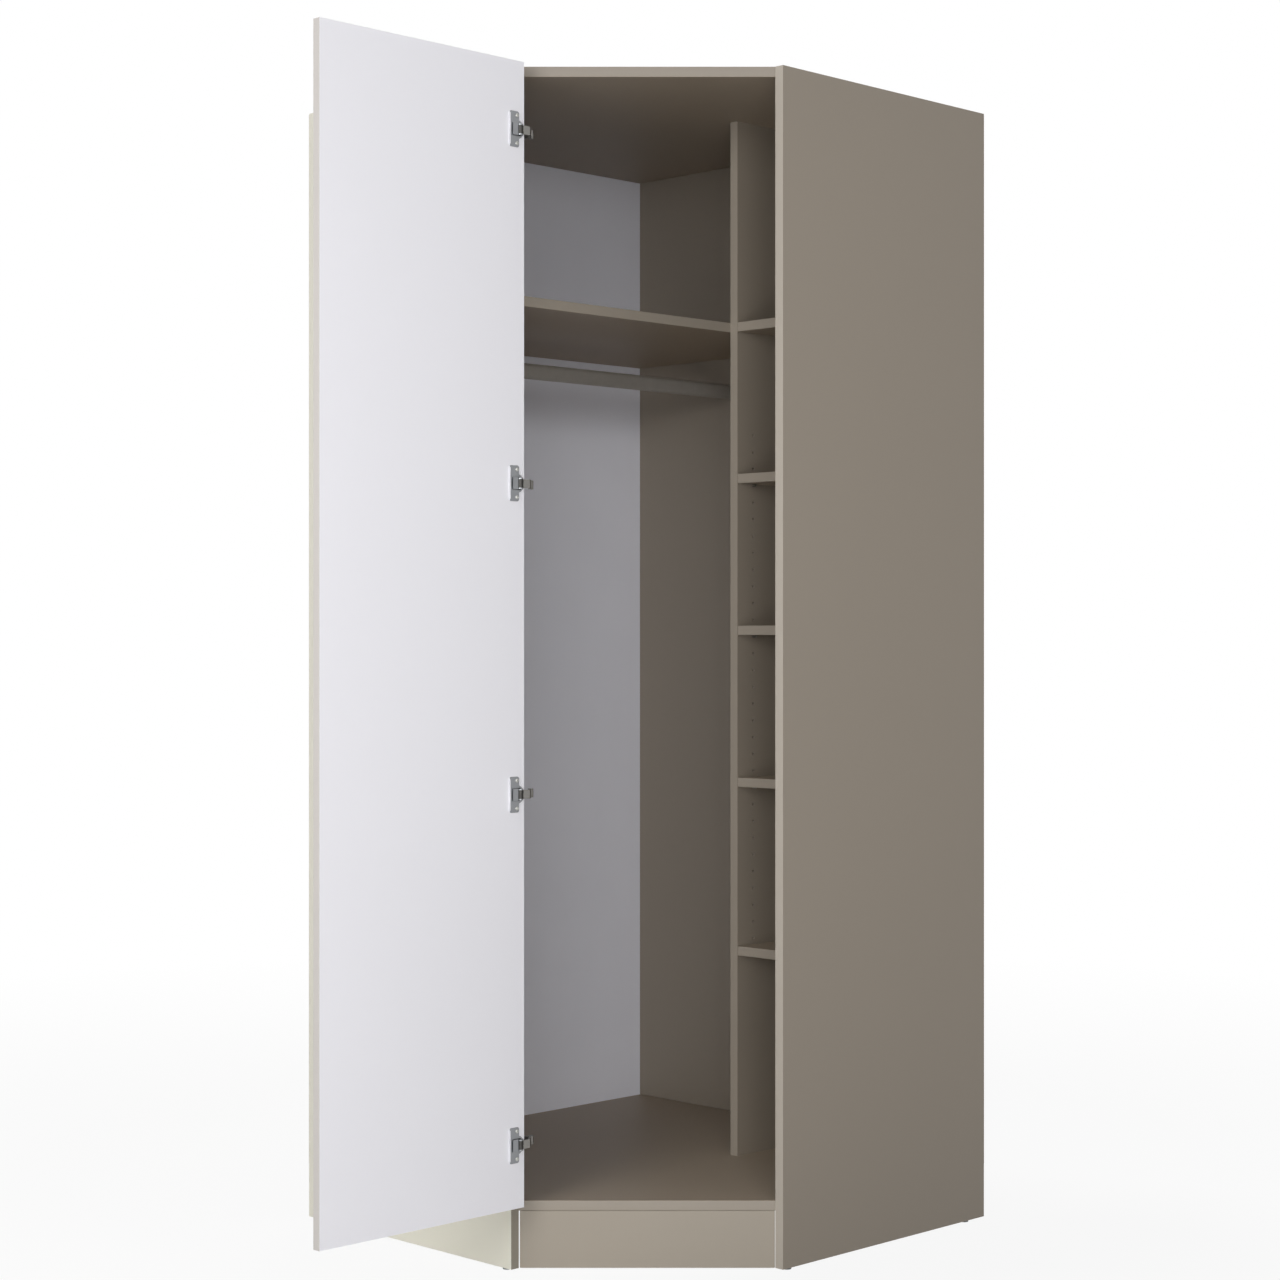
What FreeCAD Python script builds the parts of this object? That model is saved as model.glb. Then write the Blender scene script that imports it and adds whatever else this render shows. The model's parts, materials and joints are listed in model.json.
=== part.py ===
import FreeCAD, Part
import math
import os
import re

import Sketcher

# Corner wardrobe for a room corner: two side boards, a diagonal front with one door, a hanging space
# with a hat shelf and a rail, and a narrow bay of small shelves behind a divider.
# The room corner is the origin. One wall runs along +X, the other along -Y, and the floor is z = 0.
# The model stands with its door swung wide open on four wide-angle concealed hinges.

SIZES = {
    # carcass boards
    "wall_length": 909,
    "front_run": 335,
    "carcass_height": 2100,
    "board": 18,
    "plinth_height": 100,
    "plinth_left_gap": 1.8,
    "plinth_right_gap": 0.6,
    "back_sheet": 3,
    "sheet_inset": 2,
    "glide_height": 3,
    "glide_diameter": 16,
    "glide_front_setback": 20,
    "glide_rear_setback": 50,
    "leg_diameter": 40,
    "leg_flange_diameter": 70,
    "leg_flange_height": 8,
    "leg_corner_distance": 70,
    # inner fittings
    "shelf_setback": 3,
    "divider_depth": 345,
    "shelf_level": 1683,
    "pin_pitch": 32,
    "pin_diameter": 5,
    "pin_hole_depth": 10,
    "pin_seat": 9,
    "pin_reach": 8,
    "pin_row_setback": 44,
    "shelf_clearance": 0.5,
    "rail_height": 30,
    "rail_width": 15,
    "rail_wall": 1.2,
    "rail_drop": 72,
    "rail_position": 285,
    "socket_wall": 2,
    "socket_depth": 14,
    "socket_flange_margin": 6,
    "socket_flange": 2.5,
    "socket_clearance": 0.1,
    # door, standing open square to the left side board
    "door_width": 444,
    "door_thickness": 16,
    "door_top_gap": 2,
    "door_floor_lap": 2,
    "door_standoff": 38,
    "door_outset": 4.3,
    # wide-angle hinges
    "hinge_top_margin": 119,
    "hinge_upper_rise": 1252,
    "hinge_lower_rise": 715,
    "hinge_bottom_margin": 110,
    "cup_diameter": 30,
    "cup_rim_diameter": 33,
    "cup_depth": 11.5,
    "cup_wall": 1.2,
    "cup_setback": 18,
    "flange_setback": 23.8,
    "flange_width": 21.5,
    "flange_height": 62,
    "flange_thickness": 1.5,
    "flange_corner": 4,
    "flange_lip": 3,
    "flange_lip_rise": 1.5,
    "damper_height": 21,
    "damper_width": 12.5,
    "damper_rise": 4.5,
    "damper_clearance": 0.5,
    "cup_screw_spacing": 48,
    "cup_screw_setback": 18,
    "plate_screw_spacing": 32,
    "plate_screw_setback": 37,
    "screw_diameter": 3.5,
    "screw_length": 11,
    "screw_head_diameter": 7,
    "screw_head_height": 1.6,
    "hinge_pin_diameter": 4,
    "boss_diameter": 9,
    "running_clearance": 0.05,
    "side_clearance": 0.1,
    "cup_pin_setback": 12,
    "cup_pin_rise": 4,
    "ear_thickness": 2,
    "outer_link_height": 15,
    "outer_link_thickness": 4,
    "outer_link_neck": 20.3,
    "elbow_ahead": 21,
    "elbow_rise": 9,
    "elbow_slot_radius": 8,
    "inner_link_height": 8,
    "inner_link_thickness": 5,
    "arm_pin_setback": 18,
    "arm_pin_rise": 16,
    "arm_cheek": 2,
    "arm_length": 52,
    "arm_web": 2,
    "plate_thickness": 5,
    "plate_length": 44,
    "plate_strip": 14,
    "plate_wing": 44,
    "plate_wing_width": 15,
}

# counts of pin-row steps: between neighbouring small shelves from the second down, and above the second
SHELF_STEPS = (9, 9, 9, 10)
SPARE_STEPS = 3

doc = FreeCAD.newDocument("corner_wardrobe")
sheet = doc.addObject("Spreadsheet::Sheet", "Sizes")
for row, (alias, number) in enumerate(SIZES.items(), start=1):
    sheet.set(f"A{row}", alias)
    sheet.set(f"B{row}", str(number))
    sheet.setAlias(f"B{row}", alias)
doc.recompute()
pieces = []


def size(alias):
    """The sheet's value of one size, in millimetres."""
    return float(sheet.get(alias))


def cells(rule):
    """A rule in plain size names, written with the sheet's name before each of them."""
    return re.sub(r"\b[a-z][a-z_]+\b(?!\()", r"Sizes.\g<0>", rule)


def bind(thing, prop, rule):
    thing.setExpression(prop, cells(rule))


def put(thing, spot):
    for axis, rule in zip("xyz", spot):
        bind(thing, f"Placement.Base.{axis}", rule)


def box(name, spans, corner):
    """A box from its three lengths and its lowest corner."""
    thing = doc.addObject("Part::Box", name)
    for prop, rule in zip(("Length", "Width", "Height"), spans):
        bind(thing, prop, rule)
    put(thing, corner)
    return thing


TURNS = {
    "x": FreeCAD.Rotation(FreeCAD.Vector(0, 1, 0), 90),
    "y": FreeCAD.Rotation(FreeCAD.Vector(1, 0, 0), -90),
    "z": FreeCAD.Rotation(),
}


def rod(name, diameter, length, start, along="z"):
    """A round bar from its start point along one axis."""
    thing = doc.addObject("Part::Cylinder", name)
    bind(thing, "Radius", f"({diameter}) / 2")
    bind(thing, "Height", length)
    thing.Placement.Rotation = TURNS[along]
    put(thing, start)
    return thing


def fuse(name, shapes):
    thing = doc.addObject("Part::MultiFuse", name)
    thing.Shapes = shapes
    thing.Refine = True
    return thing


def cut(name, base, tools):
    thing = doc.addObject("Part::Cut", name)
    thing.Base = base
    thing.Tool = tools[0] if len(tools) == 1 else fuse(name + "_tools", tools)
    return thing


def group(name, solids):
    thing = doc.addObject("Part::Compound", name)
    thing.Links = solids
    return thing


def piece(thing, label):
    """Names a finished sub-part and keeps it for writing."""
    thing.Label = label
    pieces.append(thing)
    return thing


def origin_plane(body, role):
    return next(f for f in body.Origin.OriginFeatures if f.Role == role)


def sketch_on(body, name, role):
    sketch = body.newObject("Sketcher::SketchObject", name)
    sketch.AttachmentSupport = [(origin_plane(body, role), "")]
    sketch.MapMode = "FlatFace"
    return sketch


def polygon(sketch, corners):
    """A closed outline whose corners are size rules; a corner at 0 lies on the axis itself."""
    start = [FreeCAD.Vector(100 * math.cos(i), 100 * math.sin(i), 0) for i in range(len(corners))]
    for i in range(len(corners)):
        sketch.addGeometry(Part.LineSegment(start[i], start[(i + 1) % len(corners)]))
    for i, (across, up) in enumerate(corners):
        sketch.addConstraint(Sketcher.Constraint("Coincident", i, 2, (i + 1) % len(corners), 1))
        for kind, rule, axis in (("DistanceX", across, -2), ("DistanceY", up, -1)):
            if rule == "0":
                sketch.addConstraint(Sketcher.Constraint("PointOnObject", i, 1, axis))
                continue
            index = sketch.addConstraint(Sketcher.Constraint(kind, -1, 1, i, 1, 10.0))
            sketch.setExpression(f"Constraints[{index}]", cells(rule))


def pad(body, name, sketch, depth):
    feature = body.newObject("PartDesign::Pad", name)
    feature.Profile = sketch
    bind(feature, "Length", depth)
    return feature


# Heights and places that several pieces share
CARCASS_TOP = "glide_height + carcass_height"
TOP_UNDERSIDE = f"{CARCASS_TOP} - board"
FLOOR_UNDERSIDE = "glide_height + plinth_height"
FLOOR_TOP = f"{FLOOR_UNDERSIDE} + board"
INNER_HEIGHT = "carcass_height - plinth_height - 2 * board"
SIDE_DEPTH = "(wall_length - front_run)"
DIVIDER_LEFT = f"{SIDE_DEPTH} - shelf_setback"
BAY_WIDTH = "(front_run + shelf_setback - 2 * board)"
LEFT_INNER = "board - wall_length"
SHELF_UNDERSIDE = "glide_height + shelf_level"
steps_down = [sum(SHELF_STEPS[:i]) for i in range(len(SHELF_STEPS) + 1)]
LOWEST_STEP = steps_down[-1]
ROW_STEPS = LOWEST_STEP - SHELF_STEPS[0] + SPARE_STEPS
PIN_BASE = f"{SHELF_UNDERSIDE} - pin_diameter / 2 - {LOWEST_STEP} * pin_pitch"
DOOR_INNER = f"{SIDE_DEPTH} + door_standoff"
DOOR_EDGE = "-wall_length - door_outset"
DOOR_BOTTOM = f"{FLOOR_TOP} - door_floor_lap"
DOOR_TOP = f"{CARCASS_TOP} - door_top_gap"
HINGE_HEIGHTS = (
    f"{DOOR_TOP} - hinge_top_margin",
    f"{DOOR_BOTTOM} + hinge_upper_rise",
    f"{DOOR_BOTTOM} + hinge_lower_rise",
    f"{DOOR_BOTTOM} + hinge_bottom_margin",
)
PLATE_LINE = f"{SIDE_DEPTH} - plate_screw_setback"
CUP_SCREW_LINE = f"{DOOR_EDGE} - cup_screw_setback"


def shifted(spot, axis, by):
    return tuple(f"{rule} + {by}" if name == axis else rule for name, rule in zip("xyz", spot))


def screws_at(name, spots, axis, under_head):
    """Flat-headed screws that stand on a board's face, and the pilot holes for them.

    Each head lies on a fitting of the given thickness, and the shank runs back into the board.
    """
    solids = []
    holes = []
    for i, spot in enumerate(spots):
        tip = shifted(spot, axis, "(-screw_length)")
        shank = rod(f"{name}_shank_{i}", "screw_diameter", f"screw_length + {under_head}", tip, axis)
        head = rod(f"{name}_head_{i}", "screw_head_diameter", "screw_head_height",
                   shifted(spot, axis, under_head), axis)
        solids.append(fuse(f"{name}_{i}", [shank, head]))
        holes.append(rod(f"{name}_pilot_{i}", "screw_diameter", "screw_length", tip, axis))
    return solids, holes


# Screw places on the door and on the left side board, two for each hinge
cup_spots = []
plate_spots = []
for level in HINGE_HEIGHTS:
    for side in ("-", "+"):
        cup_spots.append((DOOR_INNER, CUP_SCREW_LINE, f"{level} {side} cup_screw_spacing / 2"))
        plate_spots.append((PLATE_LINE, LEFT_INNER, f"{level} {side} plate_screw_spacing / 2"))
cup_screws, cup_pilots = screws_at("cup_screw", cup_spots, "x", "flange_thickness")
plate_screws, plate_pilots = screws_at("plate_screw", plate_spots, "y", "plate_thickness")

# Left side board, square cut, with the pilot holes of the hinge plates in its inner face
left_blank = box("left_side_blank", (SIDE_DEPTH, "board", "carcass_height"),
                 ("0", "-wall_length", "glide_height"))
piece(cut("left_side", left_blank, plate_pilots), "left_side_panel")


def drilled_board(name, label, outline, corner, faces_right):
    """A board with two rows of pin holes in one face, drilled as one column and repeated upwards."""
    body = doc.addObject("PartDesign::Body", name)
    put(body, corner)
    profile = sketch_on(body, name + "_outline", "XY_Plane")
    polygon(profile, outline["corners"])
    pad(body, name + "_pad", profile, outline["height"])
    doc.recompute()
    blank = body.Shape.Volume
    holes = sketch_on(body, name + "_holes", "YZ_Plane")
    for across in outline["rows"]:
        circle = holes.addGeometry(Part.Circle(FreeCAD.Vector(50, 50, 0), FreeCAD.Vector(0, 0, 1), 2))
        radius = holes.addConstraint(Sketcher.Constraint("Radius", circle, 2.0))
        holes.setExpression(f"Constraints[{radius}]", cells("pin_diameter / 2"))
        for kind, rule in (("DistanceX", across), ("DistanceY", outline["first_hole"])):
            index = holes.addConstraint(Sketcher.Constraint(kind, -1, 1, circle, 3, 20.0))
            holes.setExpression(f"Constraints[{index}]", cells(rule))
    pocket = body.newObject("PartDesign::Pocket", name + "_pocket")
    pocket.Profile = holes
    pocket.Reversed = not faces_right
    bind(pocket, "Length", "pin_hole_depth")
    doc.recompute()
    column = body.newObject("PartDesign::LinearPattern", name + "_column")
    column.Originals = [pocket]
    column.Direction = (holes, ["V_Axis"])
    column.Occurrences = ROW_STEPS + 1
    bind(column, "Length", f"{ROW_STEPS} * pin_pitch")
    body.Tip = column
    doc.recompute()
    hole = math.pi * size("pin_diameter") ** 2 / 4 * size("pin_hole_depth")
    wanted = 2 * (ROW_STEPS + 1) * hole
    if abs(blank - body.Shape.Volume - wanted) > 0.01 * wanted:
        raise RuntimeError(f"{label}: the pin rows did not cut as planned")
    return piece(body, label)


# Right side board and divider: mirror-image rows of 5 mm pin holes look at each other across the bay
right_outline = {
    "corners": [("0", "0"), ("board", "0"), ("board", SIDE_DEPTH), ("0", SIDE_DEPTH)],
    "height": "carcass_height",
    "rows": (f"{SIDE_DEPTH} - divider_depth + pin_row_setback", f"{SIDE_DEPTH} - pin_row_setback"),
    "first_hole": f"{PIN_BASE} - glide_height",
}
drilled_board("right_side", "right_side_panel", right_outline,
              ("wall_length - board", f"-{SIDE_DEPTH}", "glide_height"), False)
divider_outline = {
    "corners": [("0", "0"), ("-board", "0"), ("-board", "divider_depth"), ("0", "divider_depth")],
    "height": INNER_HEIGHT,
    "rows": ("pin_row_setback", "divider_depth - pin_row_setback"),
    "first_hole": f"{PIN_BASE} - ({FLOOR_TOP})",
}
drilled_board("divider", "divider_panel", divider_outline,
              (f"{DIVIDER_LEFT} + board", "-divider_depth", FLOOR_TOP), True)


def corner_board(name, label, underside):
    """A five-sided board that fills the corner up to the diagonal front, between the two sides."""
    body = doc.addObject("PartDesign::Body", name)
    put(body, ("0", "-wall_length", underside))
    outline = sketch_on(body, name + "_outline", "XY_Plane")
    polygon(outline, [
        ("0", "board"),
        (SIDE_DEPTH, "board"),
        ("wall_length - board", "front_run"),
        ("wall_length - board", "wall_length"),
        ("0", "wall_length"),
    ])
    pad(body, name + "_pad", outline, "board")
    return piece(body, label)


corner_board("top", "top_panel", TOP_UNDERSIDE)
corner_board("floor", "bottom_panel", FLOOR_UNDERSIDE)

# Plinth board under the front edge of the bottom board, turned 45 degrees, short of the left side
FRONT_LENGTH = "(front_run - board) * sqrt(2)"
plinth = box("plinth", (
    f"{FRONT_LENGTH} - plinth_left_gap - plinth_right_gap",
    "board",
    "plinth_height",
), (
    f"{SIDE_DEPTH} + plinth_left_gap / sqrt(2)",
    "board - wall_length + plinth_left_gap / sqrt(2)",
    "glide_height",
))
plinth.Placement.Rotation = FreeCAD.Rotation(FreeCAD.Vector(0, 0, 1), 45)
piece(plinth, "plinth_board")

# Backs: a thin sheet nailed behind the hanging space and the left side, a full board on the other wall
# as far as the divider, and a thin sheet behind the bay of small shelves
piece(box("left_back", (
    "back_sheet", "wall_length - 2 * sheet_inset", "carcass_height - plinth_height - sheet_inset",
), ("-back_sheet", "sheet_inset - wall_length", FLOOR_UNDERSIDE)), "left_back_sheet")
piece(box("right_back", (
    DIVIDER_LEFT, "board", INNER_HEIGHT,
), ("0", "-board", FLOOR_TOP)), "right_back_board")
piece(box("bay_back", (
    f"{BAY_WIDTH} + 2 * board - sheet_inset", "back_sheet", "carcass_height - plinth_height - sheet_inset",
), (DIVIDER_LEFT, "0", FLOOR_UNDERSIDE)), "bay_back_sheet")

# Hat shelf across the hanging space, level with the highest small shelf
piece(box("hat", (
    DIVIDER_LEFT, "wall_length - 2 * board", "board",
), ("0", LEFT_INNER, SHELF_UNDERSIDE)), "hat_shelf")

# Highest small shelf, fixed between divider and right side, level with the hat shelf
BAY_LEFT = f"{DIVIDER_LEFT} + board"
BAY_RIGHT = "wall_length - board"
piece(box("small_shelf_1", (
    BAY_WIDTH, "divider_depth", "board",
), (BAY_LEFT, "-divider_depth", SHELF_UNDERSIDE)), "small_shelf_1")

# Loose small shelves, each on four steel pins of the 32 mm grid
pins = []
for number, steps in enumerate(steps_down[1:], start=2):
    underside = f"{SHELF_UNDERSIDE} - {steps} * pin_pitch"
    shelf = box(f"small_shelf_{number}", (
        f"{BAY_WIDTH} - 2 * shelf_clearance", "divider_depth - shelf_clearance", "board",
    ), (f"{BAY_LEFT} + shelf_clearance", "-divider_depth", underside))
    piece(shelf, f"small_shelf_{number}")
    for row, along_wall in (("front", "pin_row_setback - divider_depth"), ("rear", "-pin_row_setback")):
        for side, start in (("left", f"{BAY_LEFT} - pin_seat"), ("right", f"{BAY_RIGHT} - pin_reach")):
            pins.append(rod(f"pin_{number}_{row}_{side}", "pin_diameter", "pin_seat + pin_reach",
                            (start, along_wall, f"{underside} - pin_diameter / 2"), "x"))
piece(group("pins", pins), "shelf_pins")


def oval(name, width, height, start, length):
    """An upright oval bar along the wall: two half rounds joined by a flat middle."""
    x, y, z = start
    flat = f"(({height}) - ({width}))"
    middle = box(name + "_middle", (width, length, flat), (f"{x} - ({width}) / 2", y, f"{z} - {flat} / 2"))
    low = rod(name + "_low", width, length, (x, y, f"{z} - {flat} / 2"), "y")
    high = rod(name + "_high", width, length, (x, y, f"{z} + {flat} / 2"), "y")
    return fuse(name, [middle, low, high])


# Hanging rail: oval steel tube under the hat shelf, from the left side to the right back board
RAIL_HEIGHT = f"{SHELF_UNDERSIDE} - rail_drop"
RAIL_START = f"{LEFT_INNER} + socket_flange"
RAIL_LENGTH = "wall_length - 2 * board - 2 * socket_flange"
rail_outer = oval("rail_outer", "rail_width", "rail_height",
                  ("rail_position", RAIL_START, RAIL_HEIGHT), RAIL_LENGTH)
rail_hollow = oval("rail_hollow", "rail_width - 2 * rail_wall", "rail_height - 2 * rail_wall",
                   ("rail_position", RAIL_START, RAIL_HEIGHT), RAIL_LENGTH)
piece(cut("rail", rail_outer, [rail_hollow]), "clothes_rail")


def rail_socket(name, label, flange_start, cup_start):
    """A moulded end socket: an oval flange against the board and a short cup round the tube's end."""
    grow = "2 * (socket_wall + socket_clearance)"
    flange = oval(name + "_flange", f"rail_width + {grow} + 2 * socket_flange_margin",
                  f"rail_height + {grow} + 2 * socket_flange_margin",
                  ("rail_position", flange_start, RAIL_HEIGHT), "socket_flange")
    cup = oval(name + "_cup", f"rail_width + {grow}", f"rail_height + {grow}",
               ("rail_position", cup_start, RAIL_HEIGHT), "socket_depth")
    bore = oval(name + "_bore", "rail_width + 2 * socket_clearance", "rail_height + 2 * socket_clearance",
                ("rail_position", cup_start, RAIL_HEIGHT), "socket_depth")
    piece(fuse(name, [flange, cut(name + "_ring", cup, [bore])]), label)


rail_socket("left_socket", "left_rail_socket", LEFT_INNER, RAIL_START)
rail_socket("right_socket", "right_rail_socket", "-board - socket_flange",
            "-board - socket_flange - socket_depth")

# Floor glides under the side boards, and the round leg under the hidden rear corner of the bottom board
glide_spots = (
    ("wall_length - board / 2", f"glide_front_setback - {SIDE_DEPTH}"),
    ("wall_length - board / 2", "-glide_rear_setback"),
    (f"{SIDE_DEPTH} - glide_front_setback", "board / 2 - wall_length"),
    ("glide_rear_setback", "board / 2 - wall_length"),
)
glides = [rod(f"glide_{i}", "glide_diameter", "glide_height", (x, y, "0"))
          for i, (x, y) in enumerate(glide_spots)]
piece(group("glides", glides), "floor_glides")
leg_spot = ("leg_corner_distance", "-leg_corner_distance")
leg_post = rod("leg_post", "leg_diameter", f"{FLOOR_UNDERSIDE} - leg_flange_height", (*leg_spot, "0"))
leg_flange = rod("leg_flange", "leg_flange_diameter", "leg_flange_height",
                 (*leg_spot, f"{FLOOR_UNDERSIDE} - leg_flange_height"))
piece(fuse("leg", [leg_post, leg_flange]), "rear_corner_leg")

# Door leaf, bored for the four hinge cups and their screws
DOOR_HEIGHT = f"{DOOR_TOP} - ({DOOR_BOTTOM})"
CUP_LINE = f"{DOOR_EDGE} - cup_setback"
leaf = box("leaf", ("door_thickness", "door_width", DOOR_HEIGHT),
           (f"{DOOR_INNER} - door_thickness", f"{DOOR_EDGE} - door_width", DOOR_BOTTOM))
CUP_FLOOR = f"{DOOR_INNER} - cup_depth"
cup_bores = [rod(f"cup_bore_{i}", "cup_diameter", "cup_depth", (CUP_FLOOR, CUP_LINE, level), "x")
             for i, level in enumerate(HINGE_HEIGHTS)]
piece(cut("door", leaf, cup_bores + cup_pilots), "door_leaf")

# Pivot lines of the hinges, seen from above with the door open
ARM_PIN = (f"{SIDE_DEPTH} - arm_pin_setback", f"{LEFT_INNER} + arm_pin_rise")
ELBOW_PIN = (f"{SIDE_DEPTH} + elbow_ahead", f"{LEFT_INNER} + elbow_rise")
CUP_PIN = (f"{DOOR_INNER} + cup_pin_rise", f"{DOOR_EDGE} - cup_pin_setback")
NECK_END = (CUP_PIN[0], f"{CUP_PIN[1]} + outer_link_neck")
EAR_OUTSIDE = "(outer_link_height / 2 + side_clearance + ear_thickness)"
CHEEK_OUTSIDE = "(inner_link_height / 2 + side_clearance + arm_cheek)"
LOOSE_PIN = "hinge_pin_diameter + 2 * running_clearance"


def upright(name, diameter, half, spot, level):
    """A round piece on a pivot line, as far above the hinge's middle as below it."""
    return rod(name, diameter, f"2 * {half}", (*spot, f"{level} - {half}"))


def bar(name, start, end, thickness, half, level):
    """A flat bar whose middle line runs from one pivot line to another."""
    run = (f"({end[0]}) - ({start[0]})", f"({end[1]}) - ({start[1]})")
    thing = doc.addObject("Part::Box", name)
    bind(thing, "Length", f"hypot({run[0]}; {run[1]})")
    bind(thing, "Width", thickness)
    bind(thing, "Height", f"2 * {half}")
    bind(thing, "Placement.Rotation.Angle", f"atan2({run[1]}; {run[0]})")
    side = f"({thickness}) / 2 / hypot({run[0]}; {run[1]})"
    put(thing, (
        f"{start[0]} + ({run[1]}) * {side}",
        f"{start[1]} - ({run[0]}) * {side}",
        f"{level} - {half}",
    ))
    return thing


def hinge_cup(i, level):
    """Dished cup with screw flange, a damper housing across it, and two ears that hold the door-side pin."""
    name = f"hinge_cup_{i}"
    flange_side = f"{DOOR_EDGE} - flange_setback - flange_width / 2"
    flange_foot = f"{level} - flange_height / 2"
    plate = box(name + "_plate", ("flange_thickness", "flange_width", "flange_height"),
                (DOOR_INNER, flange_side, flange_foot))
    rounded = doc.addObject("Part::Fillet", name + "_rounded")
    rounded.Base = plate
    corner = min(size("flange_corner"), 0.45 * size("flange_width"))
    rounded.Edges = [(edge, corner, corner) for edge in (9, 10, 11, 12)]
    lip = box(name + "_lip", ("flange_lip_rise", "flange_lip", "flange_height - 2 * flange_corner"),
              (f"{DOOR_INNER} + flange_thickness", flange_side, f"{flange_foot} + flange_corner"))
    rim = rod(name + "_rim", "cup_rim_diameter", "flange_thickness", (DOOR_INNER, CUP_LINE, level), "x")
    shell = rod(name + "_shell", "cup_diameter", "cup_depth", (CUP_FLOOR, CUP_LINE, level), "x")
    dish_floor = f"{CUP_FLOOR} + cup_wall"
    hollow = rod(name + "_hollow", "cup_diameter - 2 * cup_wall", "cup_depth + flange_thickness - cup_wall",
                 (dish_floor, CUP_LINE, level), "x")
    dish = cut(name + "_dish", fuse(name + "_blank", [rounded, lip, rim, shell]), [hollow])
    ears = []
    ear_feet = {"low": f"{level} - {EAR_OUTSIDE}", "high": f"{level} + {EAR_OUTSIDE} - ear_thickness"}
    for side, foot in ear_feet.items():
        ears.append(rod(f"{name}_ear_{side}", "boss_diameter", "ear_thickness", (*CUP_PIN, foot)))
        ears.append(box(f"{name}_wall_{side}",
                        ("cup_depth - cup_wall + cup_pin_rise", "boss_diameter", "ear_thickness"),
                        (dish_floor, f"{CUP_PIN[1]} - boss_diameter / 2", foot)))
    damper_side = f"{CUP_PIN[1]} - boss_diameter / 2 - damper_clearance - damper_width"
    damper = box(name + "_damper", ("damper_rise", "damper_width", "damper_height"),
                 (DOOR_INNER, damper_side, f"{level} - damper_height / 2"))
    pin_bore = upright(name + "_pin_bore", "hinge_pin_diameter", EAR_OUTSIDE, CUP_PIN, level)
    screw_holes = [rod(f"{name}_screw_{side}", "screw_diameter", "flange_thickness",
                       (DOOR_INNER, CUP_SCREW_LINE, f"{level} {sign} cup_screw_spacing / 2"), "x")
                   for side, sign in (("low", "-"), ("high", "+"))]
    piece(cut(name, fuse(name + "_body", [dish, damper] + ears), [pin_bore] + screw_holes), name)


def outer_link(i, level):
    """Cranked link from the cup round the door's edge to the elbow, forked where it takes the inner link."""
    name = f"hinge_outer_link_{i}"
    half = "outer_link_height / 2"
    slot_half = "(inner_link_height / 2 + side_clearance)"
    solid = fuse(name + "_blank", [
        upright(name + "_cup_boss", "boss_diameter", half, CUP_PIN, level),
        bar(name + "_neck", CUP_PIN, NECK_END, "outer_link_thickness", half, level),
        upright(name + "_bend", "outer_link_thickness", half, NECK_END, level),
        bar(name + "_reach", NECK_END, ELBOW_PIN, "outer_link_thickness", half, level),
        upright(name + "_elbow_boss", "boss_diameter", half, ELBOW_PIN, level),
    ])
    piece(cut(name, solid, [
        upright(name + "_slot", "2 * elbow_slot_radius", slot_half, ELBOW_PIN, level),
        upright(name + "_cup_bore", LOOSE_PIN, half, CUP_PIN, level),
        upright(name + "_elbow_bore", "hinge_pin_diameter", half, ELBOW_PIN, level),
    ]), name)


def inner_link(i, level):
    """Straight link from the elbow back to the arm on the side board."""
    name = f"hinge_inner_link_{i}"
    half = "inner_link_height / 2"
    solid = fuse(name + "_blank", [
        upright(name + "_elbow_boss", "boss_diameter", half, ELBOW_PIN, level),
        bar(name + "_bar", ELBOW_PIN, ARM_PIN, "inner_link_thickness", half, level),
        upright(name + "_arm_boss", "boss_diameter", half, ARM_PIN, level),
    ])
    piece(cut(name, solid, [
        upright(name + "_elbow_bore", LOOSE_PIN, half, ELBOW_PIN, level),
        upright(name + "_arm_bore", LOOSE_PIN, half, ARM_PIN, level),
    ]), name)


def hinge_arm(i, level):
    """Pressed channel on the mounting plate: a web and two cheeks that hold the cabinet-side pin."""
    name = f"hinge_arm_{i}"
    back = f"{ARM_PIN[0]} - arm_length"
    foot = f"{LEFT_INNER} + plate_thickness"
    parts = [box(name + "_web", ("arm_length - boss_diameter", "arm_web", f"2 * {CHEEK_OUTSIDE}"),
                 (back, foot, f"{level} - {CHEEK_OUTSIDE}"))]
    cheek_depth = "arm_pin_rise - plate_thickness + boss_diameter / 2"
    cheek_feet = {"low": f"{level} - {CHEEK_OUTSIDE}", "high": f"{level} + {CHEEK_OUTSIDE} - arm_cheek"}
    for side, low in cheek_feet.items():
        parts.append(box(f"{name}_cheek_{side}", ("arm_length", cheek_depth, "arm_cheek"), (back, foot, low)))
        parts.append(rod(f"{name}_eye_{side}", "boss_diameter", "arm_cheek", (*ARM_PIN, low)))
    bore = upright(name + "_bore", "hinge_pin_diameter", CHEEK_OUTSIDE, ARM_PIN, level)
    piece(cut(name, fuse(name + "_blank", parts), [bore]), name)


def hinge_plate(i, level):
    """Cross-shaped mounting plate on the inner face of the left side board."""
    name = f"hinge_plate_{i}"
    strip = box(name + "_strip", ("plate_length", "plate_thickness", "plate_strip"),
                (f"{PLATE_LINE} - plate_length / 2", LEFT_INNER, f"{level} - plate_strip / 2"))
    wing = box(name + "_wing", ("plate_wing_width", "plate_thickness", "plate_wing"),
               (f"{PLATE_LINE} - plate_wing_width / 2", LEFT_INNER, f"{level} - plate_wing / 2"))
    holes = [rod(f"{name}_screw_{side}", "screw_diameter", "plate_thickness",
                 (PLATE_LINE, LEFT_INNER, f"{level} {sign} plate_screw_spacing / 2"), "y")
             for side, sign in (("low", "-"), ("high", "+"))]
    piece(cut(name, fuse(name + "_blank", [strip, wing]), holes), name)


for i, level in enumerate(HINGE_HEIGHTS, start=1):
    hinge_cup(i, level)
    outer_link(i, level)
    inner_link(i, level)
    hinge_arm(i, level)
    hinge_plate(i, level)

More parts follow.
